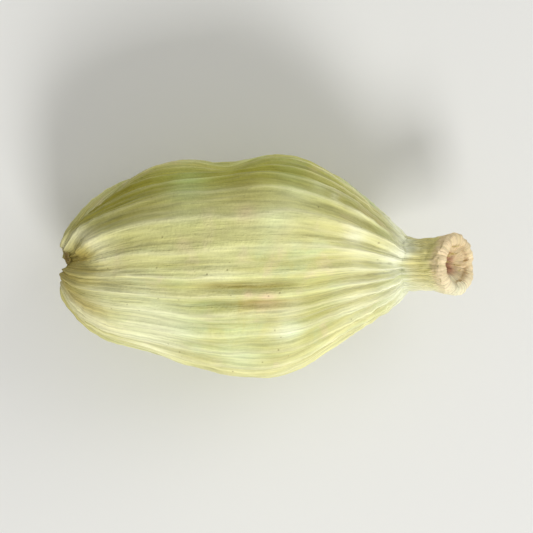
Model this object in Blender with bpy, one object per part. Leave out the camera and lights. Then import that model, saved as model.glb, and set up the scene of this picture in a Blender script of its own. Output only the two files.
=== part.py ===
"""Green cardamom pod: a dried three-sided seed capsule with its cut stalk, lying on one side.

The pod grew as one piece, so it is one closed solid. It starts as a sphere whose rings are laid
along the pod's outline, from the blunt tip to the hollow end of the stalk. Formulas then raise
three ridges and the ribs from it, and sink the clefts at the tip, a few furrows and a dent.
X runs along the pod towards the stalk and Z is up. The origin is under the middle of the pod.
"""

import math

import bmesh
import bpy
import numpy as np

# Driving dimensions. Lengths are in metres and angles in degrees. Places along the pod are
# shares of the body's length, counted from the tip.
BODY_LENGTH = 0.0156  # from the blunt tip to the neck
BODY_RADIUS = 0.00455  # at the widest place, before the ridges stand out of it
WIDEST_AT = 0.58
TIP_POWER = 0.40  # a smaller power gives a blunter tip
NECK_RADIUS = 0.00085  # where the body's taper would end
NECK_POWER = 0.86  # a larger power hollows the taper
NECK_BLEND = 0.0005  # how softly the taper runs into the stalk
NECK_BLEND_RANGE = (0.70, 0.95)

STALK_LENGTH = 0.0026
STALK_RADIUS = 0.00092
STALK_BEND = 38.0  # the stalk turns up by this much
BEND_START = 0.0150  # from the tip
RING_RADIUS = 0.00130  # the flared ring at the stalk's cut end
FLARE_START = 0.45  # share of the stalk's length
RING_LIP = 0.00027  # radius of the ring's rounded rim
HOLLOW_DEPTH = 0.00055  # of the dried-out pith inside the ring

SCAR_RADIUS = 0.0010  # the sunken scar of the flower in the middle of the tip
SCAR_DEPTH = 0.0006

# The section has three ridges. Angles round the pod count from the upper ridge.
RIDGE_ANGLES = (0.0, -120.0, 120.0)  # upper, front and back
RIDGE_HEIGHTS = (0.135, 0.185, 0.150)  # as shares of the radius
RIDGE_SHARPNESS = 5.0
RIDGE_END = (0.92, 1.05)  # the ridges die away here, at the neck
FRONT_BULGE_AT = 0.56  # the front ridge stands out most here
FRONT_BULGE_WIDTH = 0.20
FRONT_BULGE_SHARE = 0.70  # of the front ridge's height
ROLL = 19.0  # the upper ridge leans this far to the back
TWIST = 5.0  # from the tip to the neck
KEEL_HEIGHT = 0.00010  # a sharper edge along each ridge
KEEL_SHARPNESS = 90.0

# Ribs run the whole length
RIB_COUNT = 27
RIB_HEIGHT = 0.00015
RIB_SHARPNESS = 1.5
RIB_LEVEL = 0.4  # the part of a rib's height that lies below the smooth section
RIB_UNEVENNESS = 2.2  # degrees that the ribs stray from even spacing
RIB_VARIATION = 0.34  # how much their height varies from place to place
NECK_PLEATS = 1.1  # how much higher the ribs get at the neck
PLEAT_RANGE = (0.60, 0.93)
STALK_RIBS = 0.22  # their share of height on the stalk
STALK_RANGE = (0.97, 1.06)  # the body's relief gives way to the stalk's here

# Hollows in the skin
CLEFT_ANGLES = (-24.0, 62.0, 180.0)  # between the ridges, where the tip would split
CLEFT_SWINGS = (20.0, 0.0, 0.0)  # how far each turns round the pod on its last bit to the tip
CLEFT_SWING_END = 0.14
CLEFT_DEPTH = 0.00085
CLEFT_END = 0.30
CLEFT_SHARPNESS = 16.0
FURROW_ANGLES = (-33.3, -46.7)  # two pinched valleys in the upper side
FURROW_DEPTH = 0.00022
FURROW_RANGE = (0.36, 0.72)
FURROW_FADE = 0.10
FURROW_SHARPNESS = 320.0
DENT_ANGLE = 66.0  # a shallow dent in the back face
DENT_DEPTH = 0.00056
DENT_AT = 0.475
DENT_WIDTH = 0.095
DENT_SHARPNESS = 7.0
SWAY = 0.00030  # the body's middle line lies this far to the back
SWAY_RISE = (0.04, 0.28)
SWAY_FALL = (0.80, 1.0)
WRINKLE_HEIGHT = 0.00006

REST_DEPTH = 0.00042  # how much of the underside the small flat spot takes away

# The mesh. Each rib has four columns: a crest, a valley and a slope on either side.
COLUMNS = 4 * RIB_COUNT
RINGS = 46
OUTLINE_STEPS = 400
TURN_WEIGHT = 0.0016  # spaces the rings: metres of length that one radian of turn counts as

POD_NAME = "cardamom_pod"
POD_COLOUR = (0.53, 0.52, 0.23, 1.0)
POD_ROUGHNESS = 0.6


def clear_scene():
    for thing in list(bpy.data.objects):
        bpy.data.objects.remove(thing, do_unlink=True)


def smooth_step(low, high, value):
    share = np.clip((value - low) / (high - low), 0.0, 1.0)
    return share * share * (3.0 - 2.0 * share)


def hill(value, middle, width):
    """A rounded hill of height 1 along a line."""
    return np.exp(-(((value - middle) / width) ** 2))


def round_hill(angle, middle, sharpness):
    """A rounded hill of height 1 on a circle, with its middle in degrees."""
    return np.exp(sharpness * (np.cos(angle - math.radians(middle)) - 1.0))


def skin_radius(x):
    """The outside of body, neck and stalk, at a distance x from the tip."""
    share = x / BODY_LENGTH
    to_widest = np.clip(1.0 - share / WIDEST_AT, 0.0, 1.0)
    past_widest = np.clip((share - WIDEST_AT) / (1.0 - WIDEST_AT), 0.0, 1.0)
    tip_side = BODY_RADIUS * (1.0 - to_widest**2) ** TIP_POWER
    taper = np.cos(past_widest * math.pi / 2.0) ** NECK_POWER
    neck_side = NECK_RADIUS + (BODY_RADIUS - NECK_RADIUS) * taper
    body = np.where(share < WIDEST_AT, tip_side, neck_side)

    flare = smooth_step(FLARE_START, 1.0, (x - BODY_LENGTH) / STALK_LENGTH)
    stalk = STALK_RADIUS + (RING_RADIUS - STALK_RADIUS) * flare
    blend = NECK_BLEND * smooth_step(*NECK_BLEND_RANGE, share)
    return 0.5 * (body + stalk + np.sqrt((body - stalk) ** 2 + blend**2))


def outline():
    """Points (x, radius) from the middle of the tip's scar to the middle of the stalk's hollow."""
    shares = np.linspace(0.0, 1.0, OUTLINE_STEPS)
    steepness = (SCAR_RADIUS / BODY_RADIUS) ** (1.0 / TIP_POWER)
    start = BODY_LENGTH * WIDEST_AT * (1.0 - math.sqrt(1.0 - steepness))
    end = BODY_LENGTH + STALK_LENGTH - RING_LIP

    scar_x = start + SCAR_DEPTH * (0.5 + 0.5 * np.cos(math.pi * shares))
    scar = np.column_stack([scar_x, SCAR_RADIUS * shares])

    skin_x = start + (end - start) * shares**2
    skin = np.column_stack([skin_x, skin_radius(skin_x)])

    turn = math.pi * shares
    rim_middle = skin[-1, 1] - RING_LIP
    rim = np.column_stack([end + RING_LIP * np.sin(turn), rim_middle + RING_LIP * np.cos(turn)])

    hollow_x = end - HOLLOW_DEPTH * np.sin(shares * math.pi / 2.0)
    hollow = np.column_stack([hollow_x, rim[-1, 1] * (1.0 - shares)])
    return np.vstack([scar, skin[1:], rim[1:], hollow[1:]])


def spaced_rings():
    """The outline at each ring, closer together where it turns, with its outward normal."""
    points = outline()
    steps = np.diff(points, axis=0)
    lengths = np.hypot(steps[:, 0], steps[:, 1])
    directions = np.unwrap(np.arctan2(steps[:, 1], steps[:, 0]))
    turns = np.abs(np.diff(directions, prepend=directions[0]))
    places = np.concatenate([[0.0], np.cumsum(lengths + TURN_WEIGHT * turns)])
    wanted = np.linspace(0.0, places[-1], RINGS + 1)
    x = np.interp(wanted, places, points[:, 0])
    radius = np.interp(wanted, places, points[:, 1])
    direction = np.interp(wanted, 0.5 * (places[1:] + places[:-1]), directions)
    return x, radius, -np.sin(direction), np.cos(direction)


def section_factor(angle, share):
    """How far the three ridges push the radius out."""
    to_bulge = 1.0 - hill(share, FRONT_BULGE_AT, FRONT_BULGE_WIDTH)
    weights = (1.0, 1.0 - FRONT_BULGE_SHARE * to_bulge, 1.0)
    total = np.zeros_like(angle)
    for middle, height, weight in zip(RIDGE_ANGLES, RIDGE_HEIGHTS, weights):
        total = total + height * weight * round_hill(angle, middle, RIDGE_SHARPNESS)
    return 1.0 + total * (1.0 - smooth_step(*RIDGE_END, share))


def ribs(angle, share):
    uneven = np.sin(3.0 * angle + 1.1) * np.sin(5.0 * angle + 9.0 * share)
    height = RIB_HEIGHT * (1.0 - RIB_VARIATION * (1.0 - uneven))
    height = height * (1.0 + NECK_PLEATS * smooth_step(*PLEAT_RANGE, share))
    height = height * (1.0 - (1.0 - STALK_RIBS) * smooth_step(*STALK_RANGE, share))
    crest = (0.5 + 0.5 * np.cos(RIB_COUNT * angle)) ** RIB_SHARPNESS
    return height * (crest - RIB_LEVEL)


def keels(angle):
    return KEEL_HEIGHT * sum(round_hill(angle, middle, KEEL_SHARPNESS) for middle in RIDGE_ANGLES)


def clefts(angle, share):
    depth = CLEFT_DEPTH * (1.0 - smooth_step(0.0, CLEFT_END, share))
    swing = 1.0 - smooth_step(0.0, CLEFT_SWING_END, share)
    total = np.zeros_like(angle)
    for middle, turn in zip(CLEFT_ANGLES, CLEFT_SWINGS):
        total = total + round_hill(angle - np.radians(turn * swing), middle, CLEFT_SHARPNESS)
    return depth * total


def furrows(angle, share):
    low, high = FURROW_RANGE
    depth = FURROW_DEPTH * smooth_step(low, low + FURROW_FADE, share)
    depth = depth * (1.0 - smooth_step(high - FURROW_FADE, high, share))
    return depth * sum(round_hill(angle, middle, FURROW_SHARPNESS) for middle in FURROW_ANGLES)


def dent(angle, share):
    depth = DENT_DEPTH * hill(share, DENT_AT, DENT_WIDTH)
    return depth * round_hill(angle, DENT_ANGLE, DENT_SHARPNESS)


def wrinkles(angle, share):
    along = np.sin(17.0 * share + 2.0 * np.sin(2.0 * angle))
    return WRINKLE_HEIGHT * along * np.sin(4.0 * angle + 6.0 * share)


def relief(angle, share):
    """Height of the fine forms over the smooth section."""
    on_body = 1.0 - smooth_step(*STALK_RANGE, share)
    raised = keels(angle) + wrinkles(angle, share)
    sunk = clefts(angle, share) + furrows(angle, share) + dent(angle, share)
    return ribs(angle, share) + on_body * (raised - sunk)


def turned_up(x, z):
    """Bends the stalk's end of the pod upwards along an arc."""
    whole_turn = math.radians(STALK_BEND)
    arc_radius = (BODY_LENGTH + STALK_LENGTH - BEND_START) / whole_turn
    turn = np.clip((x - BEND_START) / arc_radius, 0.0, whole_turn)
    past_arc = np.maximum(x - BEND_START - arc_radius * whole_turn, 0.0)
    on_arc_x = BEND_START + arc_radius * np.sin(turn) + past_arc * np.cos(turn)
    on_arc_z = arc_radius * (1.0 - np.cos(turn)) + past_arc * np.sin(turn)
    straight = x <= BEND_START
    bent_x = np.where(straight, x, on_arc_x - z * np.sin(turn))
    bent_z = np.where(straight, z, on_arc_z + z * np.cos(turn))
    return bent_x, bent_z


def pod_points(ring, angle):
    """Places on the pod: the ring gives the point on the outline, the angle the side of the pod."""
    x, radius, normal_x, normal_r = (values[ring] for values in spaced_rings())
    share = x / BODY_LENGTH
    past_scar = smooth_step(0.2 * SCAR_RADIUS, 1.5 * SCAR_RADIUS, radius)
    raised = relief(angle, share) * past_scar
    along = x + raised * normal_x
    out = radius * section_factor(angle, share) + raised * normal_r

    stray = np.sin(2.0 * angle + 0.7) + np.sin(5.0 * angle)
    turn = angle + math.radians(RIB_UNEVENNESS) * stray
    turn = turn + math.radians(ROLL) + math.radians(TWIST) * (share - 0.5)
    sway = SWAY * smooth_step(*SWAY_RISE, share) * (1.0 - smooth_step(*SWAY_FALL, share))
    bent_x, z = turned_up(along, out * np.cos(turn))
    return np.column_stack([bent_x, out * np.sin(turn) + sway, z])


def laid_down(points):
    """Presses the small flat spot into the underside and puts the origin under the middle."""
    placed = points.copy()
    rest_level = points[:, 2].min() + REST_DEPTH
    placed[:, 2] = np.maximum(points[:, 2], rest_level) - rest_level
    middle = 0.5 * (points[:, :2].min(axis=0) + points[:, :2].max(axis=0))
    placed[:, :2] -= middle
    return placed


def shape_pod(sphere):
    """Moves each vertex of the sphere to its place. The sphere's lower pole becomes the tip."""
    places = np.array([vertex.co[:] for vertex in sphere.verts])
    from_tip = np.arccos(np.clip(-places[:, 2], -1.0, 1.0))
    ring = np.rint(from_tip / math.pi * RINGS).astype(int)
    angle = math.pi / 2.0 - np.arctan2(places[:, 1], places[:, 0])
    for vertex, place in zip(sphere.verts, laid_down(pod_points(ring, angle))):
        vertex.co = place


def pod_material():
    material = bpy.data.materials.new("dry_green_husk")
    material.use_nodes = True
    shader = material.node_tree.nodes["Principled BSDF"]
    shader.inputs["Base Color"].default_value = POD_COLOUR
    shader.inputs["Roughness"].default_value = POD_ROUGHNESS
    shader.inputs["Metallic"].default_value = 0.0
    return material


def build_pod(collection):
    sphere = bmesh.new()
    bmesh.ops.create_uvsphere(sphere, u_segments=COLUMNS, v_segments=RINGS, radius=1.0)
    shape_pod(sphere)
    mesh = bpy.data.meshes.new(POD_NAME)
    sphere.to_mesh(mesh)
    sphere.free()
    mesh.shade_smooth()
    mesh.materials.append(pod_material())
    collection.objects.link(bpy.data.objects.new(POD_NAME, mesh))


def main():
    clear_scene()
    collection = bpy.data.collections.new("Green cardamom pod")
    bpy.context.scene.collection.children.link(collection)
    build_pod(collection)


main()
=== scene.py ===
import math

import bpy
import numpy as np
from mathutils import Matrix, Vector


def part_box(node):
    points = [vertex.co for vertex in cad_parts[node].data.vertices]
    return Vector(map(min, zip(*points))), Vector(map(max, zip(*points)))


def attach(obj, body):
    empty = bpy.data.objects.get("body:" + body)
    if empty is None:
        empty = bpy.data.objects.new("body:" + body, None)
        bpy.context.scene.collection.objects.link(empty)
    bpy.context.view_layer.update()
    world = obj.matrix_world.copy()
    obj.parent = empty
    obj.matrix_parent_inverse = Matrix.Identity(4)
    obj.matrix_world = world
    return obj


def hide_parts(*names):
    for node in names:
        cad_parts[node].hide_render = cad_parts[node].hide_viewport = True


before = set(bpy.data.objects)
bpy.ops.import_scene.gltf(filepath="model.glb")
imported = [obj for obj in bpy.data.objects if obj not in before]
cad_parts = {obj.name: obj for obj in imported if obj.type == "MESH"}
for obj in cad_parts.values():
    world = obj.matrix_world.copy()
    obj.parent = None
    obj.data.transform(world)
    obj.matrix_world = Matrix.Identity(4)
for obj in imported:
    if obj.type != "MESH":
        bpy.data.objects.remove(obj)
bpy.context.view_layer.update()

# The pod lies with its tip to -X and its stalk to +X. Lengths are in metres and angles in degrees.
# Places along the pod are shares of the body's length, counted from the tip. Angles round it are
# counted from the upper ridge. The larger a sharpness is, the narrower the form is round the pod.
pod = {
    # the main form, as in the CAD part
    "bodyLength": 0.0156,
    "bodyRadius": 0.00455,
    "widestAt": 0.58,
    "tipPower": 0.40,
    "neckRadius": 0.00085,
    "neckPower": 0.86,
    "neckBlend": 0.0005,
    "neckBlendRange": (0.70, 0.95),
    "stalkLength": 0.0026,
    "stalkRadius": 0.00092,
    "stalkBend": 38.0,
    "bendStart": 0.0150,
    "ringRadius": 0.00130,
    "flareStart": 0.45,
    "ringLip": 0.00027,
    "hollowDepth": 0.00055,
    "scarRadius": 0.0010,
    "scarDepth": 0.0006,
    "ridgeAngles": (0.0, -120.0, 120.0),
    "ridgeHeights": (0.135, 0.185, 0.150),
    "ridgeSharpness": 5.0,
    "ridgeEnd": (0.92, 1.05),
    "frontBulgeAt": 0.56,
    "frontBulgeWidth": 0.20,
    "frontBulgeShare": 0.70,
    "roll": 19.0,
    "twist": 5.0,
    "keelHeight": 0.00010,
    "keelSharpness": 90.0,
    "ribCount": 27,
    "ribHeight": 0.00015,
    "ribSharpness": 1.5,
    "ribLevel": 0.4,
    "ribUnevenness": 2.2,
    "ribVariation": 0.34,
    "neckPleats": 1.1,
    "pleatRange": (0.60, 0.93),
    "stalkRibs": 0.22,
    "stalkRange": (0.97, 1.06),
    "cleftAngles": (-24.0, 62.0, 180.0),
    "cleftSwings": (20.0, 0.0, 0.0),
    "cleftSwingEnd": 0.14,
    "cleftDepth": 0.00085,
    "cleftEnd": 0.30,
    "cleftSharpness": 16.0,
    "furrowAngles": (-33.3, -46.7),
    "furrowDepth": 0.00022,
    "furrowRange": (0.36, 0.72),
    "furrowFade": 0.10,
    "furrowSharpness": 320.0,
    "dentAngle": 66.0,
    "dentDepth": 0.00056,
    "dentAt": 0.475,
    "dentWidth": 0.095,
    "dentSharpness": 7.0,
    "sway": 0.00030,
    "swayRise": (0.04, 0.28),
    "swayFall": (0.80, 1.0),
    "wrinkleHeight": 0.00006,
    "restDepth": 0.00042,
    "reliefStart": (0.2, 1.5),  # the relief begins here, in shares of the scar's radius
    "calmPole": 0.0005,  # the finer relief dies away this near to the middle of scar and hollow
    # the mesh
    "columns": 432,
    "rings": 208,
    "outlineSteps": 400,
    "turnWeight": 0.0009,  # spaces the rings: metres of length that one radian of turn counts as
    "grainRadius": 4.3,  # millimetres: the streaks are laid on a tube of this radius
    # the finer relief that only this mesh has
    "ribFade": 0.40,  # how much a rib's height rises and falls on its way
    "ribFadeEnd": (0.70, 0.90),
    "veinHeight": 0.000045,  # a thin raised vein along each rib
    "veinPower": 14.0,
    "veinWander": 0.035,  # radians
    "veinStrength": (0.62, 0.38),  # its mean and how far it varies
    "veinStalkLoss": 0.6,
    "subVeinHeight": 0.000034,  # fainter veins between them
    "subVeinsPerRib": 3,
    "subVeinPower": 2.5,
    "subVeinWander": 0.05,  # radians
    "subVeinStrength": (0.45, 0.80),
    "subVeinStalkLoss": 0.5,
    "fibreHeight": 0.000018,
    "swellHeight": 0.000060,  # slow unevenness of the dried skin
    "puckerHeight": 0.000050,  # small cross wrinkles
    "puckerShares": (0.22, 0.4, 0.6),  # all over, what the neck adds and what the tip adds
    "neckRange": (0.72, 0.96),
    "tipRange": (0.02, 0.22),
    "pinchDepth": 0.00010,  # sharper bottoms of the two furrows
    "pinchSharpness": 1500.0,
    "pleatCut": 0.000080,  # sharper valleys between the pleats at the neck
    "pleatCutPower": 5.0,
    "pleatCutRise": (0.55, 0.85),
    "pleatCutFall": (0.90, 0.98),
    "seamWander": 0.00014,  # how far the seam between neck and stalk strays along the pod
    "seamAt": 1.0,
    "seamWidth": 0.06,
    "rimRagged": 0.00005,
    "rimFolds": 0.5,
    "flareRange": (1.07, 1.12),
    "ringEvening": 0.6,  # how much of the ribs' height is lost on the ring
    "lobeHeight": 0.00013,  # a swollen place on the front of the ring
    "lobeAngle": -122.0,
    "lobeSharpness": 7.0,
    "lobeAt": 1.108,
    "lobeWidth": 0.025,
    "pithRough": 0.00006,
    # where each kind of relief begins and ends, in the stages of the outline
    "skinStages": ((0.9, 1.05), (1.97, 2.1)),
    "ringStages": ((1.80, 1.95), (2.9, 3.1)),
    "hollowStages": (2.9, 3.2),
    # smooth random patches: each layer of a pattern has its weight, its cells round the pod and
    # along it, and its seed
    "latticeEnd": 1.2,  # the lattices reach this far along the pod
    "lattices": {
        "ribFade": [(1.0, 27, 6, 5)],
        "veinWander": [(1.0, 15, 7, 11), (0.4, 40, 22, 12)],
        "veinStrength": [(1.0, 31, 9, 13)],
        "subVeinWander": [(1.0, 13, 6, 21)],
        "subVeinStrength": [(1.0, 43, 8, 22)],
        "fibres": [(1.0, 216, 30, 31)],
        "swells": [(1.0, 11, 8, 41), (0.6, 23, 17, 42)],
        "puckers": [(1.0, 54, 90, 43), (0.6, 90, 150, 44)],
        "rim": [(1.0, 19, 60, 51), (0.7, 47, 160, 52)],
        "rimFolds": [(1.0, 83, 90, 55)],
        "pith": [(1.0, 21, 5, 53), (0.6, 50, 9, 54)],
        "colourEdges": [(1.0, 23, 4, 61)],
        "seam": [(1.0, 19, 3, 71), (0.5, 41, 5, 72)],
    },
}


def smoothStep(low, high, value):
    share = np.clip((value - low) / (high - low), 0.0, 1.0)
    return share * share * (3.0 - 2.0 * share)


def between(rise, fall, value):
    return smoothStep(*rise, value) * (1.0 - smoothStep(*fall, value))


def hill(value, middle, width):
    return np.exp(-(((value - middle) / width) ** 2))


def roundHill(angle, middle, sharpness):  # a rounded hill on a circle, its middle in degrees
    return np.exp(sharpness * (np.cos(angle - math.radians(middle)) - 1.0))


def crests(angle, count, power):  # even crests round the pod, from 0 to 1
    return (0.5 + 0.5 * np.cos(count * angle)) ** power


def latticeLayer(angle, along, around, lengthwise, seed):
    # smooth noise from -1 to 1 on a lattice that closes round the pod; along runs from 0 to 1
    rng = np.random.default_rng(seed)
    lattice = rng.uniform(-1.0, 1.0, (lengthwise + 2, around))
    u = (angle / (2.0 * math.pi)) % 1.0 * around
    v = np.clip(along, 0.0, 1.0) * lengthwise
    u, v = np.broadcast_arrays(u, v)
    column = np.floor(u).astype(int)
    row = np.floor(v).astype(int)
    du = u - column
    dv = v - row
    du = du * du * (3.0 - 2.0 * du)
    dv = dv * dv * (3.0 - 2.0 * dv)
    column = column % around
    beside = (column + 1) % around
    low = lattice[row, column] * (1.0 - du) + lattice[row, beside] * du
    high = lattice[row + 1, column] * (1.0 - du) + lattice[row + 1, beside] * du
    return low * (1.0 - dv) + high * dv


def patches(name, angle, along):
    layers = pod["lattices"][name]
    return sum(weight * latticeLayer(angle, along, *layer) for weight, *layer in layers)


def skinPatches(name, angle, share):
    return patches(name, angle, share / pod["latticeEnd"])


def skinRadius(x):
    share = x / pod["bodyLength"]
    toWidest = np.clip(1.0 - share / pod["widestAt"], 0.0, 1.0)
    pastWidest = np.clip((share - pod["widestAt"]) / (1.0 - pod["widestAt"]), 0.0, 1.0)
    tipSide = pod["bodyRadius"] * (1.0 - toWidest**2) ** pod["tipPower"]
    taper = np.cos(pastWidest * math.pi / 2.0) ** pod["neckPower"]
    neckSide = pod["neckRadius"] + (pod["bodyRadius"] - pod["neckRadius"]) * taper
    body = np.where(share < pod["widestAt"], tipSide, neckSide)
    flare = smoothStep(pod["flareStart"], 1.0, (x - pod["bodyLength"]) / pod["stalkLength"])
    stalk = pod["stalkRadius"] + (pod["ringRadius"] - pod["stalkRadius"]) * flare
    blend = pod["neckBlend"] * smoothStep(*pod["neckBlendRange"], share)
    return 0.5 * (body + stalk + np.sqrt((body - stalk) ** 2 + blend**2))


def podOutline():
    # points (x, radius) from the tip's scar to the stalk's hollow, and the stage of each:
    # 0 to 1 is the scar, 1 to 2 the skin, 2 to 3 the ring's rim and 3 to 4 the hollow
    shares = np.linspace(0.0, 1.0, pod["outlineSteps"])
    steepness = (pod["scarRadius"] / pod["bodyRadius"]) ** (1.0 / pod["tipPower"])
    start = pod["bodyLength"] * pod["widestAt"] * (1.0 - math.sqrt(1.0 - steepness))
    end = pod["bodyLength"] + pod["stalkLength"] - pod["ringLip"]
    scarX = start + pod["scarDepth"] * (0.5 + 0.5 * np.cos(math.pi * shares))
    scar = np.column_stack([scarX, pod["scarRadius"] * shares])
    skinX = start + (end - start) * shares**2
    skin = np.column_stack([skinX, skinRadius(skinX)])
    turn = math.pi * shares
    rimMiddle = skin[-1, 1] - pod["ringLip"]
    rimX = end + pod["ringLip"] * np.sin(turn)
    rim = np.column_stack([rimX, rimMiddle + pod["ringLip"] * np.cos(turn)])
    hollowX = end - pod["hollowDepth"] * np.sin(shares * math.pi / 2.0)
    hollow = np.column_stack([hollowX, rim[-1, 1] * (1.0 - shares)])
    stages = [shares, 1.0 + shares[1:], 2.0 + shares[1:], 3.0 + shares[1:]]
    return np.vstack([scar, skin[1:], rim[1:], hollow[1:]]), np.concatenate(stages)


def spacedRings():
    points, stages = podOutline()
    steps = np.diff(points, axis=0)
    lengths = np.hypot(steps[:, 0], steps[:, 1])
    directions = np.unwrap(np.arctan2(steps[:, 1], steps[:, 0]))
    turns = np.abs(np.diff(directions, prepend=directions[0]))
    places = np.concatenate([[0.0], np.cumsum(lengths + pod["turnWeight"] * turns)])
    wanted = np.linspace(0.0, places[-1], pod["rings"] + 1)
    x = np.interp(wanted, places, points[:, 0])
    radius = np.interp(wanted, places, points[:, 1])
    stage = np.interp(wanted, places, stages)
    direction = np.interp(wanted, 0.5 * (places[1:] + places[:-1]), directions)
    return [v[:, None] for v in (x, radius, stage, -np.sin(direction), np.cos(direction))]


def sectionFactor(angle, share):
    toBulge = 1.0 - hill(share, pod["frontBulgeAt"], pod["frontBulgeWidth"])
    weights = (1.0, 1.0 - pod["frontBulgeShare"] * toBulge, 1.0)
    total = 0.0
    for middle, height, weight in zip(pod["ridgeAngles"], pod["ridgeHeights"], weights):
        total = total + height * weight * roundHill(angle, middle, pod["ridgeSharpness"])
    return 1.0 + total * (1.0 - smoothStep(*pod["ridgeEnd"], share))


def ribs(angle, share):
    uneven = np.sin(3.0 * angle + 1.1) * np.sin(5.0 * angle + 9.0 * share)
    height = pod["ribHeight"] * (1.0 - pod["ribVariation"] * (1.0 - uneven))
    height = height * (1.0 + pod["neckPleats"] * smoothStep(*pod["pleatRange"], share))
    height = height * (1.0 - (1.0 - pod["stalkRibs"]) * smoothStep(*pod["stalkRange"], share))
    fade = skinPatches("ribFade", angle, share) * (1.0 - smoothStep(*pod["ribFadeEnd"], share))
    height = height * (1.0 + pod["ribFade"] * fade)
    return height * (crests(angle, pod["ribCount"], pod["ribSharpness"]) - pod["ribLevel"])


def clefts(angle, share):
    swing = 1.0 - smoothStep(0.0, pod["cleftSwingEnd"], share)
    total = 0.0
    for middle, turn in zip(pod["cleftAngles"], pod["cleftSwings"]):
        total = total + roundHill(angle - np.radians(turn * swing), middle, pod["cleftSharpness"])
    return total * (1.0 - smoothStep(0.0, pod["cleftEnd"], share))


def furrows(angle, share, sharpness):
    low, high = pod["furrowRange"]
    depth = between((low, low + pod["furrowFade"]), (high - pod["furrowFade"], high), share)
    return depth * sum(roundHill(angle, middle, sharpness) for middle in pod["furrowAngles"])


def dent(angle, share):
    along = hill(share, pod["dentAt"], pod["dentWidth"])
    return along * roundHill(angle, pod["dentAngle"], pod["dentSharpness"])


def mainRelief(angle, share):  # the same forms as the CAD part's
    keels = sum(roundHill(angle, middle, pod["keelSharpness"]) for middle in pod["ridgeAngles"])
    along = np.sin(17.0 * share + 2.0 * np.sin(2.0 * angle))
    wrinkles = along * np.sin(4.0 * angle + 6.0 * share)
    raised = pod["keelHeight"] * keels + pod["wrinkleHeight"] * wrinkles
    sunk = pod["cleftDepth"] * clefts(angle, share) + pod["dentDepth"] * dent(angle, share)
    sunk = sunk + pod["furrowDepth"] * furrows(angle, share, pod["furrowSharpness"])
    onBody = 1.0 - smoothStep(*pod["stalkRange"], share)
    return ribs(angle, share) + onBody * (raised - sunk)


def veinStrength(name, angle, share):
    mean, swing = pod[name]
    return np.clip(mean + swing * skinPatches(name, angle, share), 0.0, 1.0)


def veins(angle, share):
    wander = pod["veinWander"] * skinPatches("veinWander", angle, share)
    lines = crests(angle + wander, pod["ribCount"], pod["veinPower"])
    return lines * veinStrength("veinStrength", angle, share)


def subVeins(angle, share):
    wander = pod["subVeinWander"] * skinPatches("subVeinWander", angle, share)
    count = pod["subVeinsPerRib"] * pod["ribCount"]
    lines = crests(angle + wander, count, pod["subVeinPower"])
    return lines * veinStrength("subVeinStrength", angle, share)


def fineBody(angle, share):
    onStalk = smoothStep(*pod["stalkRange"], share)
    toNeck = smoothStep(*pod["neckRange"], share)
    toTip = 1.0 - smoothStep(*pod["tipRange"], share)
    veinHeight = pod["veinHeight"] * (1.0 - pod["veinStalkLoss"] * onStalk)
    subVeinHeight = pod["subVeinHeight"] * (1.0 - pod["subVeinStalkLoss"] * onStalk)
    total = veinHeight * veins(angle, share) + subVeinHeight * subVeins(angle, share)
    total = total + pod["fibreHeight"] * skinPatches("fibres", angle, share)
    total = total + pod["swellHeight"] * skinPatches("swells", angle, share) * (1.0 - toNeck)
    everywhere, atNeck, atTip = pod["puckerShares"]
    puckerHeight = pod["puckerHeight"] * (everywhere + atNeck * toNeck + atTip * toTip)
    total = total + puckerHeight * skinPatches("puckers", angle, share)
    total = total - pod["pinchDepth"] * furrows(angle, share, pod["pinchSharpness"])
    valley = (1.0 - crests(angle, pod["ribCount"], 1.0)) ** pod["pleatCutPower"]
    cut = between(pod["pleatCutRise"], pod["pleatCutFall"], share)
    return total - pod["pleatCut"] * valley * cut


def fineRing(angle, share):
    onFlare = smoothStep(*pod["flareRange"], share)
    folds = pod["rimFolds"] * skinPatches("rimFolds", angle, share) * onFlare
    total = pod["rimRagged"] * (skinPatches("rim", angle, share) + folds)
    total = total - pod["ringEvening"] * ribs(angle, share) * onFlare
    lobe = roundHill(angle, pod["lobeAngle"], pod["lobeSharpness"])
    lobe = lobe * hill(share, pod["lobeAt"], pod["lobeWidth"])
    return total + pod["lobeHeight"] * lobe


def fineRelief(angle, share, stage):
    total = fineBody(angle, share) * between(*pod["skinStages"], stage)
    total = total + fineRing(angle, share) * between(*pod["ringStages"], stage)
    pith = pod["pithRough"] * patches("pith", angle, stage - 3.0)
    return total + pith * smoothStep(*pod["hollowStages"], stage)


# The two lips at the tip and the sunken face between them. They swing round the pod on their way.
pod["lips"] = {
    "swingEnd": 0.16,
    # of the upper and the lower lip: angle, swing at the tip, sharpness and where it ends
    "lines": ((-8.0, 28.0, 90.0, (0.06, 0.22)), (-77.0, 4.0, 70.0, (0.12, 0.30))),
    # the face's upper and lower edge: angle and swing at the tip
    "faceEdges": ((-20.0, 26.0), (-70.0, 4.0)),
    "faceSoftness": (-0.12, 0.16),  # radians past its edge
}


def lipLines(angle, share):
    lips = pod["lips"]
    swing = 1.0 - smoothStep(0.0, lips["swingEnd"], share)
    total = 0.0
    for middle, turn, sharpness, end in lips["lines"]:
        line = roundHill(angle - np.radians(turn * swing), middle, sharpness)
        total = total + line * (1.0 - smoothStep(*end, share))
    return np.clip(total, 0.0, 1.0)


def tipFace(angle, share):
    lips = pod["lips"]
    swing = 1.0 - smoothStep(0.0, lips["swingEnd"], share)
    upper, lower = (np.radians(middle + turn * swing) for middle, turn in lips["faceEdges"])
    away = np.abs((angle - 0.5 * (upper + lower) + math.pi) % (2.0 * math.pi) - math.pi)
    return 1.0 - smoothStep(*lips["faceSoftness"], away - 0.5 * (upper - lower))


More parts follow.
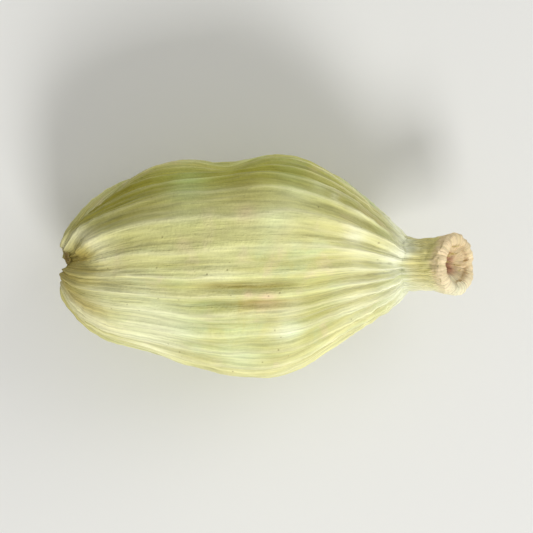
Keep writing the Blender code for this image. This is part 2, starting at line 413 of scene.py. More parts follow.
def turnedUp(x, z):  # bends the stalk's end of the pod upwards along an arc
    wholeTurn = math.radians(pod["stalkBend"])
    arcRadius = (pod["bodyLength"] + pod["stalkLength"] - pod["bendStart"]) / wholeTurn
    turn = np.clip((x - pod["bendStart"]) / arcRadius, 0.0, wholeTurn)
    pastArc = np.maximum(x - pod["bendStart"] - arcRadius * wholeTurn, 0.0)
    onArcX = pod["bendStart"] + arcRadius * np.sin(turn) + pastArc * np.cos(turn)
    onArcZ = arcRadius * (1.0 - np.cos(turn)) + pastArc * np.sin(turn)
    straight = x <= pod["bendStart"]
    bentX = np.where(straight, x, onArcX - z * np.sin(turn))
    bentZ = np.where(straight, z, onArcZ + z * np.cos(turn))
    return bentX, bentZ


# Where the colours change. A side has its angle, its sharpness and where it ends along the pod.
pod["zones"] = {
    "crestPower": 1.2,
    "subVeinShare": 0.45,  # how pale a fainter vein is beside a vein
    # the ridges' pale band is partly the keels' own paler colour and partly a painted highlight
    "ridgeSharpness": 26.0,
    "ridgeAtTip": 0.30,  # how much of the ridges' pale tint and painted highlight the tip has
    "ridgeRise": (0.12, 0.36),
    "pleatRange": (0.52, 0.88),
    "furrowSharpness": 800.0,
    "furrowEnds": 0.55,  # how dark the furrows are at their ends
    "furrowDarkest": (0.58, 0.07),
    # edge: the lower front edge, where a pale band is a painted highlight of the key light grazing the
    # pod
    "edge": (-106.0, 14.0, (0.80, 0.95)),
    # front: the lower face that the key light falls on; the valleys' painted shade is kept weaker here
    "front": (-85.0, 3.0, (0.60, 0.85)),
    # back: the upper face, turned from the key light, laid darker olive: partly the husk's own colour and
    # partly painted shade
    "back": (31.0, 8.0, (0.62, 0.90)),
    "faceEnd": (0.02, 0.17),
    "tipEnd": (0.0, 0.17),
    # neck: a pale band, its colour lifted near white as painted light against the shade of the hollow
    # neck
    "neck": (0.985, 0.046),
    "stalkRange": (0.985, 1.05),
    "ringRange": (0.58, 0.80),  # in shares of the stalk
    # cream: the lower front of the stalk and the ring, facing the key light, where a painted highlight is
    # laid
    "cream": (-112.0, 3.5),
    # in the stages of the outline
    "scarEnd": (0.7, 1.08),
    "rim": (2.95, 0.16),
    "hollowRange": (3.20, 3.65),
    "pithRange": (3.55, 3.95),
    # how far the edges of these zones stray
    "faceStray": 0.036,
    "tipStray": 0.060,
    "neckStray": 0.024,
    "ringStray": 0.012,
    "hollowStray": 0.096,
}

# Single marks on the skin: share along the pod, angle round it, half length, sharpness and strength
pod["marks"] = {
    "mintSpots": [
        (0.27, -54.0, 0.080, 30.0, 0.8), (0.36, -66.0, 0.060, 60.0, 0.9),
        (0.675, -67.0, 0.035, 150.0, 1.0), (0.52, -84.0, 0.070, 50.0, 0.9),
        (0.22, -78.0, 0.050, 60.0, 0.8), (0.75, 23.0, 0.030, 60.0, 0.45),
        (0.68, 11.0, 0.060, 60.0, 0.50), (0.62, -3.0, 0.055, 150.0, 0.8),
        (0.30, 152.0, 0.160, 60.0, 0.6), (0.62, -150.0, 0.150, 60.0, 0.6),
        (0.55, 96.0, 0.120, 60.0, 0.5),
    ],
    "oliveSpots": [
        (0.20, 32.0, 0.080, 11.0, 0.9), (0.53, 13.0, 0.055, 36.0, 1.0),
        (0.29, 14.0, 0.050, 60.0, 0.6), (0.17, 8.0, 0.080, 40.0, 0.70),
        (0.28, 0.0, 0.070, 60.0, 0.45), (0.13, 44.0, 0.050, 20.0, 0.8),
        (0.66, 40.0, 0.060, 40.0, 0.5), (0.86, 6.0, 0.050, 60.0, 0.5),
        (0.45, 140.0, 0.130, 40.0, 0.8), (0.70, -160.0, 0.130, 40.0, 0.8),
    ],
    "greenSpots": [
        (0.375, 22.0, 0.055, 14.0, 0.85), (0.67, 30.0, 0.050, 30.0, 0.40),
        (0.35, -30.0, 0.030, 300.0, 0.40), (0.42, -47.0, 0.050, 300.0, 0.40),
        (0.60, 120.0, 0.080, 20.0, 0.6), (0.30, -140.0, 0.080, 20.0, 0.6),
    ],
    "lightSpots": [
        (0.19, -44.0, 0.110, 7.0, 0.55), (0.87, -50.0, 0.080, 5.0, 0.95),
        (0.46, -27.0, 0.060, 50.0, 0.35), (0.48, -30.0, 0.260, 5.0, 0.22),
        (0.10, -30.0, 0.050, 6.0, 0.45), (0.30, -66.0, 0.070, 20.0, 0.55),
        (0.87, -14.0, 0.040, 40.0, 0.50), (0.67, -50.0, 0.040, 60.0, 0.40),
        (0.60, 170.0, 0.120, 10.0, 0.5), (0.35, 110.0, 0.100, 16.0, 0.5),
    ],
    "peachSpots": [
        (0.60, -40.5, 0.026, 800.0, 1.0), (0.545, -38.5, 0.012, 1600.0, 0.9),
        (0.50, 118.0, 0.050, 500.0, 0.5), (0.37, -11.0, 0.030, 500.0, 0.30),
        (0.54, 1.0, 0.030, 500.0, 0.45), (0.60, -48.0, 0.050, 500.0, 0.45),
    ],
    "paleSpots": [
        (0.85, -4.0, 0.030, 200.0, 0.60), (0.795, 20.0, 0.012, 200.0, 0.50),
        (0.86, 14.0, 0.026, 140.0, 0.30), (0.72, -132.0, 0.060, 200.0, 0.4),
        (0.945, -45.0, 0.035, 6.0, 0.75), (0.650, -66.0, 0.040, 70.0, 0.42),
        (0.29, -82.0, 0.090, 16.0, 0.38),
    ],
}


def marked(spots, angle, share):
    total = 0.0
    for place, middle, half, sharpness, strength in spots:
        total = total + strength * hill(share, place, half) * roundHill(angle, middle, sharpness)
    return np.clip(total, 0.0, 1.0)


def colourMasks(angle, share, stage):
    # how much of each zone and mark there is at every point, from 0 to 1
    zones = pod["zones"]
    stray = skinPatches("colourEdges", angle, share)
    ridges = sum(roundHill(angle, m, zones["ridgeSharpness"]) for m in pod["ridgeAngles"])
    ridgeRise = zones["ridgeAtTip"] + (1.0 - zones["ridgeAtTip"]) * smoothStep(*zones["ridgeRise"], share)
    darkest = hill(share, *zones["furrowDarkest"])
    furrowDark = zones["furrowEnds"] + (1.0 - zones["furrowEnds"]) * darkest
    faceEnd = smoothStep(*zones["faceEnd"], share + zones["faceStray"] * stray)
    stalkShare = pod["stalkLength"] / pod["bodyLength"]
    ringFrom, ringTo = (1.0 + place * stalkShare for place in zones["ringRange"])
    strayedStage = stage + zones["hollowStray"] * stray

    def side(name):
        middle, sharpness, end = zones[name]
        return roundHill(angle, middle, sharpness) * (1.0 - smoothStep(*end, share))

    masks = {
        "crest": crests(angle, pod["ribCount"], zones["crestPower"]),
        "vein": veins(angle, share) + zones["subVeinShare"] * subVeins(angle, share),
        "ridge": ridges * ridgeRise,
        "pleat": smoothStep(*zones["pleatRange"], share),
        "furrow": furrows(angle, share, zones["furrowSharpness"]) * furrowDark,
        "cleft": clefts(angle, share),
        "lips": lipLines(angle, share),
        "face": tipFace(angle, share) * (1.0 - faceEnd),
        "edge": side("edge"),
        "front": side("front"),
        "back": side("back"),
        "tip": 1.0 - smoothStep(*zones["tipEnd"], share + zones["tipStray"] * stray),
        "scar": 1.0 - smoothStep(*zones["scarEnd"], stage),
        "neck": hill(share + zones["neckStray"] * stray, *zones["neck"]),
        "stalk": smoothStep(*zones["stalkRange"], share + zones["neckStray"] * stray),
        "ring": smoothStep(ringFrom, ringTo, share + zones["ringStray"] * stray),
        "cream": roundHill(angle, *zones["cream"]),
        "rim": hill(strayedStage, *zones["rim"]),
        "hollow": smoothStep(*zones["hollowRange"], strayedStage),
        "pith": smoothStep(*zones["pithRange"], strayedStage),
    }
    masks["vein"] = np.clip(masks["vein"], 0.0, 1.0)
    for name, spots in pod["marks"].items():
        masks[name] = marked(spots, angle, share)
    return masks


def podGrid():
    # the places of all rings and columns, the colour masks and the place that the streaks read
    x, radius, stage, normalX, normalR = spacedRings()
    angle = 2.0 * math.pi * np.arange(pod["columns"])[None, :] / pod["columns"]
    share = x / pod["bodyLength"]
    reliefFrom, reliefFull = (place * pod["scarRadius"] for place in pod["reliefStart"])
    raised = mainRelief(angle, share) * smoothStep(reliefFrom, reliefFull, radius)
    raised = raised + fineRelief(angle, share, stage) * smoothStep(0.0, pod["calmPole"], radius)
    seam = skinPatches("seam", angle, share) * hill(share, pod["seamAt"], pod["seamWidth"])
    along = x + raised * normalX + pod["seamWander"] * seam
    out = radius * sectionFactor(angle, share) + raised * normalR

    stray = np.sin(2.0 * angle + 0.7) + np.sin(5.0 * angle)
    turn = angle + math.radians(pod["ribUnevenness"]) * stray
    turn = turn + math.radians(pod["roll"]) + math.radians(pod["twist"]) * (share - 0.5)
    sway = pod["sway"] * between(pod["swayRise"], pod["swayFall"], share)
    bentX, z = turnedUp(along, out * np.cos(turn))
    points = np.stack([bentX, out * np.sin(turn) + sway, z], axis=-1)

    restLevel = points[..., 2].min() + pod["restDepth"]
    points[..., 2] = np.maximum(points[..., 2], restLevel)
    low, high = points.min(axis=(0, 1)), points.max(axis=(0, 1))
    cadLow, cadHigh = (np.array(corner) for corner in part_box("cardamom_pod"))
    points = cadLow + (points - low) * (cadHigh - cadLow) / (high - low)  # exactly the CAD's box

    around = pod["grainRadius"] * np.sin(angle), pod["grainRadius"] * np.cos(angle)
    grain = np.stack(np.broadcast_arrays(*around, 1000.0 * x), axis=-1)  # in millimetres
    return points, colourMasks(angle, share, stage), grain


# Dried fibres that stand in the hollow of the stalk and in the scar of the tip
pod["fibres"] = {
    "stalkCount": 16,
    "tipCount": 12,
    "stalkRings": (2, 14),  # how far from the middle of the hollow they stand, in rings of the mesh
    "tipRings": (2, 9),
    "radius": 0.000035,
    "thickness": (0.7, 1.3),
    "length": (0.00022, 0.00050),
    "tipLength": 0.8,  # how long those of the tip are beside those of the stalk
    "lean": 0.22,
    "curl": 0.25,
    "taper": 0.65,
    "rootDepth": 0.00008,
    "rootPoint": 0.00009,
    "sides": 6,
    "steps": 6,
    "seed": 7,
}


def fibreFaces(first):
    # a closed tube: its rings of points come first, then the point at its root and that at its end
    sides, steps = pod["fibres"]["sides"], pod["fibres"]["steps"]
    last = first + steps * sides
    rootPoint = last + sides
    pairs = [(side, (side + 1) % sides) for side in range(sides)]
    faces = []
    for low in range(first, last, sides):
        high = low + sides
        faces += [(low + a, low + b, high + b, high + a) for a, b in pairs]
    for a, b in pairs:
        faces.append((first + a, rootPoint, first + b))
        faces.append((last + a, last + b, rootPoint + 1))
    return faces


def driedFibres(points):
    fibres = pod["fibres"]
    rng = np.random.default_rng(fibres["seed"])
    bend = math.radians(pod["stalkBend"])
    stalkWay = np.array([math.cos(bend), 0.0, math.sin(bend)])
    tipWay = np.array([-1.0, 0.0, 0.0])
    places, faces = [], []
    for number in range(fibres["stalkCount"] + fibres["tipCount"]):
        onStalk = number < fibres["stalkCount"]
        away = int(rng.integers(*fibres["stalkRings" if onStalk else "tipRings"]))
        ring = pod["rings"] - away if onStalk else away
        root = points[ring, int(rng.integers(0, pod["columns"]))]
        way = (stalkWay if onStalk else tipWay) + rng.normal(0.0, fibres["lean"], 3)
        way = way / np.linalg.norm(way)
        length = rng.uniform(*fibres["length"]) * (1.0 if onStalk else fibres["tipLength"])
        across = np.cross(way, [0.0, 1.0, 0.3])
        across = across / np.linalg.norm(across)
        third = np.cross(way, across)
        curl = rng.uniform(-fibres["curl"], fibres["curl"], 2)
        thick = fibres["radius"] * rng.uniform(*fibres["thickness"])
        faces += fibreFaces(len(places))
        for t in np.linspace(0.0, 1.0, fibres["steps"] + 1):
            middle = root + way * (length * t - fibres["rootDepth"])
            middle = middle + (across * curl[0] + third * curl[1]) * length * t * t
            wide = thick * (1.0 - fibres["taper"] * t)
            for side in range(fibres["sides"]):
                a = 2.0 * math.pi * side / fibres["sides"]
                places.append(middle + (across * math.cos(a) + third * math.sin(a)) * wide)
        places.append(root - way * fibres["rootPoint"])
        places.append(middle + way * thick * 0.5)
    return np.array(places), faces


def buildPod(skin, fibre):
    points, masks, grain = podGrid()
    rings, columns = pod["rings"], pod["columns"]

    def gathered(array):  # first pole, all the rings between, last pole
        inner = array[1:rings].reshape((-1,) + array.shape[2:])
        return np.concatenate([array[:1, 0], inner, array[-1:, 0]])

    skinPoints = gathered(points)
    ring = np.arange(rings - 2)[:, None]
    column = np.arange(columns)[None, :]
    beside = (column + 1) % columns
    near = 1 + ring * columns
    far = near + columns
    quads = np.stack([near + column, far + column, far + beside, near + beside], axis=-1)
    lastPole = len(skinPoints) - 1
    lastRing = lastPole - columns
    faces = [(0, 1 + c, 1 + (c + 1) % columns) for c in range(columns)]
    faces += [tuple(q) for q in quads.reshape(-1, 4).tolist()]
    faces += [(lastPole, lastRing + (c + 1) % columns, lastRing + c) for c in range(columns)]
    skinFaces = len(faces)

    fibrePoints, extraFaces = driedFibres(points)
    faces += [tuple(i + len(skinPoints) for i in face) for face in extraFaces]
    noMask = np.zeros(len(fibrePoints))

    mesh = bpy.data.meshes.new("cardamomPod")
    mesh.from_pydata(np.vstack([skinPoints, fibrePoints]).tolist(), [], faces)
    for name, mask in masks.items():
        layer = mesh.attributes.new("pod_" + name, "FLOAT", "POINT")
        mask = gathered(np.broadcast_to(mask, points.shape[:2]))
        layer.data.foreach_set("value", np.concatenate([mask, noMask]))
    layer = mesh.attributes.new("pod_grain", "FLOAT_VECTOR", "POINT")
    layer.data.foreach_set("vector", np.vstack([gathered(grain), fibrePoints * 1000.0]).ravel())
    mesh.materials.append(skin)
    mesh.materials.append(fibre)
    slots = np.zeros(len(faces), dtype=np.int32)
    slots[skinFaces:] = 1
    mesh.polygons.foreach_set("material_index", slots)
    mesh.shade_smooth()
    mesh.update()
    piece = bpy.data.objects.new("cardamomPod", mesh)
    bpy.context.scene.collection.objects.link(piece)
    return piece


# The husk's finish. Colours are linear red, green and blue.
husk = {
    "leafGreen": (0.50, 0.515, 0.155),
    "paleGreen": (0.68, 0.695, 0.285),
    "mint": (0.59, 0.72, 0.39),
    "paleMint": (0.74, 0.83, 0.47),
    "lightGreen": (0.90, 0.90, 0.56),
    "straw": (0.73, 0.65, 0.245),
    "backGreenAndShade": (0.44, 0.445, 0.045),
    "freshGreen": (0.46, 0.58, 0.20),
    "olive": (0.30, 0.268, 0.018),
    "ridgePaleAndHighlight": (0.84, 0.82, 0.41),
    "furrowTan": (0.32, 0.245, 0.055),
    "blush": (0.82, 0.68, 0.40),
    "cream": (0.88, 0.85, 0.53),
    "tan": (0.36, 0.29, 0.075),
    # tipBrown: the tip's own brown, also laid as painted shade in the clefts and the sunken face between
    # the lips
    "tipBrown": (0.50, 0.40, 0.105),
    "neckPale": (0.93, 0.95, 0.72),
    "stalkTan": (0.82, 0.74, 0.31),
    "ringPink": (0.99, 0.79, 0.50),
    "ringHighlightCream": (0.99, 0.97, 0.68),
    "pithBrown": (0.72, 0.40, 0.25),
    "pithDark": (0.42, 0.17, 0.09),
    "rimBrown": (0.50, 0.30, 0.15),
    "scarBrown": (0.34, 0.23, 0.055),
    "peach": (0.86, 0.66, 0.42),
    "speck": (0.20, 0.15, 0.055),
    "fibreTan": (0.42, 0.26, 0.10),
    # streaks along the grain: fineness, how short they are, and the range of noise they show
    "streaks": {
        "fine": (8.0, 0.07, 0.30, 0.70),
        "middle": (4.0, 0.08, 0.34, 0.66),
        "broad": (1.7, 0.10, 0.38, 0.64),
    },
    # soft patches: fineness and the range of noise they show
    "patches": {
        "green": (0.33, 0.36, 0.62),
        "mint": (0.62, 0.50, 0.68),
        "blush": (0.85, 0.53, 0.71),
        "back": (0.9, 0.35, 0.65),
        "ring": (2.2, 0.48, 0.66),
        "ringSpots": (5.5, 0.50, 0.72),
        "rim": (7.0, 0.42, 0.62),
        "pores": (9.0, 0.30, 0.70),
    },
    "speckFineness": 1.5,
    "speckSize": 0.085,
    "broken": (0.35, 1.15),  # how the middle streaks break up the marks
    "frontValleys": 0.45,  # how much of the valleys' olive and painted shade the lit front keeps
    "neckValleys": 0.55,
    "neckVeins": 1.6,
    # the pale veins are dimmed on the upper face as part of its painted shade
    "backVeins": 0.5,
    "backPatches": (0.2, 1.4),
    "stalkStreaks": (0.65, 1.0),
    "ringStreaks": (0.80, 1.0),
    "fineTone": (0.81, 1.19),  # how the streaks darken and lighten the colour
    "middleTone": (0.89, 1.10),
    "roughness": (0.68, 0.48),
    "shine": 0.15,
    "bumpDistance": 0.000045,
    "fineBump": 0.55,
    "middleBump": 0.45,
    "poreBump": 0.30,
    "speckBump": -0.4,
    # the dried fibres: soft patches give their tone, specks lie over it and streaks roughen it
    "fibreTone": (3.0, 0.3, 0.7),  # fineness and the range of noise it shows
    "fibreSpecks": (6.0, 0.15),  # fineness and size
    "fibreStreaks": (20.0, 0.2),  # fineness and how short they are
    "fibreBump": (0.00001, 0.6),  # distance and strength
    "fibreRoughness": 0.7,
}

# The coats of colour over the green, from the lowest to the topmost: the colour of each, and how
# strongly it is laid on
husk["coats"] = {
    "mintPatches": ("mint", 0.72),
    "strawStreaks": ("straw", 0.55),
    "blushPatches": ("blush", 0.60),
    # painted shade: the upper face and its patches are laid darker olive, partly their own colour
    "back": ("backGreenAndShade", 0.88),
    "backPatches": ("olive", 0.34),
    "oliveSpots": ("olive", 0.82),
    "greenSpots": ("freshGreen", 1.0),
    "mintSpots": ("paleMint", 1.0),
    "lightSpots": ("lightGreen", 1.0),
    # the valleys between ribs are laid darker olive and tan: partly the husk's own striping and partly
    # painted shade, kept weaker on the lit front
    "valleys": ("olive", 0.42),
    "pleatValleys": ("tan", 0.24),
    # ridges: partly paler keels, partly a painted highlight on them
    "ridges": ("ridgePaleAndHighlight", 0.40),
    # painted highlight: cream laid along the lower front edge
    "frontEdge": ("cream", 0.38),
    "veins": ("cream", 0.50),
    "furrows": ("furrowTan", 0.80),
    "peachSpots": ("peach", 0.80),
    "paleSpots": ("neckPale", 1.0),
    # the clefts and the sunken face between the lips are laid brown: partly the tip's own brown and
    # partly painted shade in these hollows
    "clefts": ("tipBrown", 0.48),
    "tip": ("tipBrown", 0.50),
    "tipFace": ("tipBrown", 0.75),
    "lips": ("cream", 0.75),
    "specks": ("speck", 0.50),
    "stalk": ("stalkTan", 1.0),
    # painted highlight on the lower front of the stalk
    "stalkFront": ("ringHighlightCream", 0.90),
    # neck: partly its own pale colour and partly painted light that offsets the shade of the hollow neck
    "neck": ("neckPale", 0.95),
    "ring": ("ringPink", 1.0),
    "ringPatches": ("stalkTan", 0.25),
    # painted highlight on the lower front of the ring
    "ringFront": ("ringHighlightCream", 0.85),
    "ringSpots": ("rimBrown", 0.30),
    "hollow": ("pithBrown", 1.0),
    "rim": ("rimBrown", 0.50),
    "pith": ("pithDark", 0.80),
    "scar": ("scarBrown", 1.0),
}


def setInput(tree, socket, value):
    if isinstance(value, bpy.types.NodeSocket):
        tree.links.new(value, socket)
    elif socket.type == "RGBA" and len(value) == 3:
        socket.default_value = (*value, 1.0)
    else:
        socket.default_value = value


def addNode(tree, kind, inputs=None, **settings):
    node = tree.nodes.new(kind)
    for name, value in settings.items():
        setattr(node, name, value)
    for name, value in (inputs or {}).items():
        setInput(tree, node.inputs[name], value)
    return node


def mixColours(tree, share, first, second, blend="MIX"):
    node = addNode(tree, "ShaderNodeMix", data_type="RGBA", blend_type=blend)
    for index, value in ((0, share), (6, first), (7, second)):
        setInput(tree, node.inputs[index], value)
    return node.outputs[2]


def calculate(tree, operation, *values):
    node = addNode(tree, "ShaderNodeMath", operation=operation)
    for index, value in enumerate(values):
        setInput(tree, node.inputs[index], value)
    return node.outputs[0]


def newGroup(name, inputs):
    # a node group with these inputs and one output, its mask
    group = bpy.data.node_groups.new(name, "ShaderNodeTree")
    for title, kind, value in inputs:
        socket = group.interface.new_socket(title, in_out="INPUT", socket_type=kind)
        if value is not None:
            socket.default_value = value
    group.interface.new_socket("Mask", in_out="OUTPUT", socket_type="NodeSocketFloat")
    return group, group.nodes.new("NodeGroupInput"), group.nodes.new("NodeGroupOutput")


def useGroup(tree, group, inputs):
    return addNode(tree, "ShaderNodeGroup", inputs, node_tree=group).outputs["Mask"]


def makeStreaks():
    # long thin fibres that run along the grain
    inputs = [
        ("Place", "NodeSocketVector", None),
        ("Fineness", "NodeSocketFloat", 4.0),
        ("Length", "NodeSocketFloat", 0.12),
        ("Low", "NodeSocketFloat", 0.35),
        ("High", "NodeSocketFloat", 0.65),
    ]
    group, start, end = newGroup("fibreStreaks", inputs)
    stretch = addNode(group, "ShaderNodeCombineXYZ", {"X": 1.0, "Y": 1.0, "Z": start.outputs["Length"]})
    long = addNode(group, "ShaderNodeVectorMath", operation="MULTIPLY")
    group.links.new(start.outputs["Place"], long.inputs[0])
    group.links.new(stretch.outputs[0], long.inputs[1])
    noise = addNode(group, "ShaderNodeTexNoise", {
        "Vector": long.outputs[0], "Scale": start.outputs["Fineness"], "Detail": 3.0, "Roughness": 0.6,
    })
    levels = addNode(group, "ShaderNodeMapRange", {
        "Value": noise.outputs[0], "From Min": start.outputs["Low"], "From Max": start.outputs["High"],
    })
    group.links.new(levels.outputs[0], end.inputs["Mask"])
    return group


def makeMottle():
    # soft uneven patches
    inputs = [
        ("Place", "NodeSocketVector", None),
        ("Fineness", "NodeSocketFloat", 0.6),
        ("Low", "NodeSocketFloat", 0.35),
        ("High", "NodeSocketFloat", 0.65),
    ]
    group, start, end = newGroup("softMottle", inputs)
    noise = addNode(group, "ShaderNodeTexNoise", {
        "Vector": start.outputs["Place"], "Scale": start.outputs["Fineness"], "Detail": 4.0,
        "Roughness": 0.55, "Distortion": 0.4,
    })
    levels = addNode(group, "ShaderNodeMapRange", {
        "Value": noise.outputs[0], "From Min": start.outputs["Low"], "From Max": start.outputs["High"],
    }, interpolation_type="SMOOTHSTEP")
    group.links.new(levels.outputs[0], end.inputs["Mask"])
    return group


def makeSpecks():
    # small round specks, far apart
    inputs = [
        ("Place", "NodeSocketVector", None),
        ("Fineness", "NodeSocketFloat", 1.5),
        ("Size", "NodeSocketFloat", 0.08),
    ]
    group, start, end = newGroup("smallSpecks", inputs)
    cells = addNode(group, "ShaderNodeTexVoronoi", {
        "Vector": start.outputs["Place"], "Scale": start.outputs["Fineness"],
    })
    core = calculate(group, "MULTIPLY", start.outputs["Size"], 0.35)
    levels = addNode(group, "ShaderNodeMapRange", {
        "Value": cells.outputs["Distance"], "From Min": start.outputs["Size"], "From Max": core,
    })
    group.links.new(levels.outputs[0], end.inputs["Mask"])
    return group


def newMaterial(name):
    material = bpy.data.materials.new(name)
    material.use_nodes = True
    return material, material.node_tree, material.node_tree.nodes["Principled BSDF"]


def podValue(tree, name, output="Fac"):
    return addNode(tree, "ShaderNodeAttribute", attribute_name="pod_" + name).outputs[output]


def makeSkin(streaks, mottle, specks):
    material, tree, shader = newMaterial("dryGreenHusk")
    place = podValue(tree, "grain", "Vector")

    def streak(name):
        fineness, length, low, high = husk["streaks"][name]
        values = {"Place": place, "Fineness": fineness, "Length": length, "Low": low, "High": high}
        return useGroup(tree, streaks, values)

    def patch(name):
        fineness, low, high = husk["patches"][name]
        return useGroup(tree, mottle, {"Place": place, "Fineness": fineness, "Low": low, "High": high})

    def mask(name):
        return podValue(tree, name)

    def times(*values):
        result = values[0]
        for value in values[1:]:
            result = calculate(tree, "MULTIPLY", result, value)
        return result

    def ranged(value, low, high):
        values = {"Value": value, "To Min": low, "To Max": high}
        return addNode(tree, "ShaderNodeMapRange", values).outputs[0]

    fine, middle = streak("fine"), streak("middle")
    broken = ranged(middle, *husk["broken"])
    speckInputs = {"Place": place, "Fineness": husk["speckFineness"], "Size": husk["speckSize"]}
    speckled = useGroup(tree, specks, speckInputs)
    valley = calculate(tree, "SUBTRACT", 1.0, mask("crest"))
    onFront = ranged(mask("front"), 1.0, husk["frontValleys"])
    atNeck = ranged(mask("pleat"), 1.0, husk["neckValleys"])
    neckVeins = ranged(mask("pleat"), 1.0, husk["neckVeins"])
    backVeins = ranged(mask("back"), 1.0, husk["backVeins"])
    coatMasks = {
        "mintPatches": patch("mint"),
        "strawStreaks": streak("broad"),
        "blushPatches": patch("blush"),
        "back": mask("back"),
        "backPatches": times(mask("back"), ranged(patch("back"), *husk["backPatches"])),
        "oliveSpots": times(mask("oliveSpots"), broken),
        "greenSpots": mask("greenSpots"),
        "mintSpots": mask("mintSpots"),
        "lightSpots": mask("lightSpots"),
        "valleys": times(valley, onFront, atNeck, broken),
        "pleatValleys": times(valley, mask("pleat")),
        "ridges": mask("ridge"),
        # painted highlight along the lower front edge
        "frontEdge": times(mask("edge"), broken),
        "veins": times(mask("vein"), neckVeins, backVeins),
        "furrows": times(mask("furrow"), broken),
        "peachSpots": mask("peachSpots"),
        "paleSpots": times(mask("paleSpots"), broken),
        "clefts": times(mask("cleft"), broken),
        "tip": times(mask("tip"), broken),
        "tipFace": mask("face"),
        "lips": mask("lips"),
        "specks": speckled,
        "stalk": times(mask("stalk"), ranged(fine, *husk["stalkStreaks"])),
        # painted highlight on the lower front of stalk and ring
        "stalkFront": times(mask("stalk"), mask("cream")),
        "neck": mask("neck"),
        "ring": times(mask("ring"), ranged(middle, *husk["ringStreaks"])),
        "ringPatches": times(mask("ring"), patch("ring")),
        "ringFront": times(mask("ring"), mask("cream")),
        "ringSpots": times(mask("ring"), patch("ringSpots")),
        "hollow": mask("hollow"),
        "rim": times(mask("rim"), patch("rim")),
        "pith": mask("pith"),
        "scar": mask("scar"),
    }
    colour = mixColours(tree, patch("green"), husk["leafGreen"], husk["paleGreen"])
    for name, (shade, strength) in husk["coats"].items():
        colour = mixColours(tree, times(coatMasks[name], strength), colour, husk[shade])
    light = times(ranged(fine, *husk["fineTone"]), ranged(middle, *husk["middleTone"]))
    tone = addNode(tree, "ShaderNodeCombineColor", {"Red": light, "Green": light, "Blue": light})
    colour = mixColours(tree, 1.0, colour, tone.outputs[0], "MULTIPLY")
    tree.links.new(colour, shader.inputs["Base Color"])

    shader.inputs["Specular IOR Level"].default_value = husk["shine"]
    tree.links.new(ranged(fine, *husk["roughness"]), shader.inputs["Roughness"])
    height = times(fine, husk["fineBump"])
    bumps = ((middle, "middleBump"), (patch("pores"), "poreBump"), (speckled, "speckBump"))
    for part, name in bumps:
        height = calculate(tree, "ADD", height, times(part, husk[name]))
    bump = addNode(tree, "ShaderNodeBump", {"Height": height, "Distance": husk["bumpDistance"]})
    bump.inputs["Strength"].default_value = 1.0
    tree.links.new(bump.outputs[0], shader.inputs["Normal"])
    return material


def makeFibre(streaks, mottle, specks):
    material, tree, shader = newMaterial("driedFibre")
    place = podValue(tree, "grain", "Vector")
    fineness, low, high = husk["fibreTone"]
    tone = useGroup(tree, mottle, {"Place": place, "Fineness": fineness, "Low": low, "High": high})
    colour = mixColours(tree, tone, husk["fibreTan"], husk["straw"])
    fineness, size = husk["fibreSpecks"]
    speckled = useGroup(tree, specks, {"Place": place, "Fineness": fineness, "Size": size})
    colour = mixColours(tree, speckled, colour, husk["speck"])
    tree.links.new(colour, shader.inputs["Base Color"])
    fineness, length = husk["fibreStreaks"]
    line = useGroup(tree, streaks, {"Place": place, "Fineness": fineness, "Length": length})
    distance, strength = husk["fibreBump"]
    bump = addNode(tree, "ShaderNodeBump", {"Height": line, "Distance": distance, "Strength": strength})
    tree.links.new(bump.outputs[0], shader.inputs["Normal"])
    shader.inputs["Roughness"].default_value = husk["fibreRoughness"]
    return material


floor = {
    "size": 0.5,
    "colour": (0.80, 0.80, 0.78),
    "roughness": 0.85,
}


def buildFloor():
    material, tree, shader = newMaterial("paleFloor")
    setInput(tree, shader.inputs["Base Color"], floor["colour"])
    setInput(tree, shader.inputs["Roughness"], floor["roughness"])
    half = floor["size"] / 2.0
    corners = [(-half, -half, 0.0), (half, -half, 0.0), (half, half, 0.0), (-half, half, 0.0)]
    mesh = bpy.data.meshes.new("floor")
    mesh.from_pydata(corners, [], [(0, 1, 2, 3)])
    mesh.materials.append(material)
    piece = bpy.data.objects.new("floor", mesh)
    bpy.context.scene.collection.objects.link(piece)


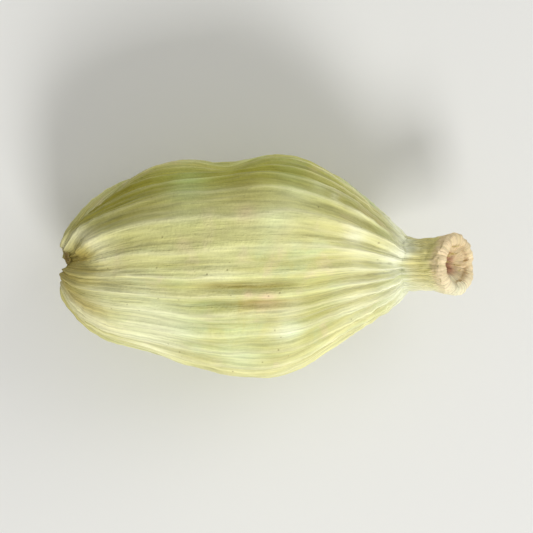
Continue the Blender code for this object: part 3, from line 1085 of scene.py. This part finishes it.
# Light and camera. Area lights are in watts.
studio = {
    "keyPlace": (0.045, -0.18, 0.17),
    "keyPower": 0.355,
    "keySize": 0.08,
    "fillPlace": (0.16, 0.10, 0.13),
    "fillPower": 0.15,
    "fillSize": 0.16,
    "aimHeight": 0.004,
    "skyColour": (1.0, 0.99, 0.96),
    "skyStrength": 0.47,
    "cameraHeight": 0.16,
    "frameWidth": 0.0240,  # how much the picture shows at the pod's middle height
    "middleHeight": 0.005,
}


def addLight(name, place, power, size):
    light = bpy.data.lights.new(name, "AREA")
    light.energy = power
    light.size = size
    lamp = bpy.data.objects.new(name, light)
    lamp.location = place
    way = Vector((0.0, 0.0, studio["aimHeight"])) - Vector(place)
    lamp.rotation_euler = way.to_track_quat("-Z", "Y").to_euler()
    bpy.context.scene.collection.objects.link(lamp)


def buildStudio():
    addLight("key", studio["keyPlace"], studio["keyPower"], studio["keySize"])
    addLight("fill", studio["fillPlace"], studio["fillPower"], studio["fillSize"])
    world = bpy.data.worlds.new("studio")
    world.use_nodes = True
    sky = world.node_tree.nodes["Background"]
    sky.inputs["Color"].default_value = (*studio["skyColour"], 1.0)
    sky.inputs["Strength"].default_value = studio["skyStrength"]
    bpy.context.scene.world = world
    bpy.context.scene.view_settings.view_transform = "Standard"

    camera = bpy.data.cameras.new("camera")
    distance = studio["cameraHeight"] - studio["middleHeight"]
    camera.lens = camera.sensor_width * distance / studio["frameWidth"]
    camera.clip_start = 0.001
    camera.clip_end = 10.0
    eye = bpy.data.objects.new("camera", camera)
    eye.location = (0.0, 0.0, studio["cameraHeight"])  # straight above, with +Y up in the picture
    bpy.context.scene.collection.objects.link(eye)
    bpy.context.scene.camera = eye


buildStudio()
print("studio ready")
buildFloor()
print("floor laid")
streaks, mottle, specks = makeStreaks(), makeMottle(), makeSpecks()
podPiece = buildPod(makeSkin(streaks, mottle, specks), makeFibre(streaks, mottle, specks))
triangles = sum(len(face.vertices) - 2 for face in podPiece.data.polygons)
print("pod built:", len(podPiece.data.vertices), "points,", triangles, "triangles")
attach(podPiece, "root")
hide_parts("cardamom_pod")
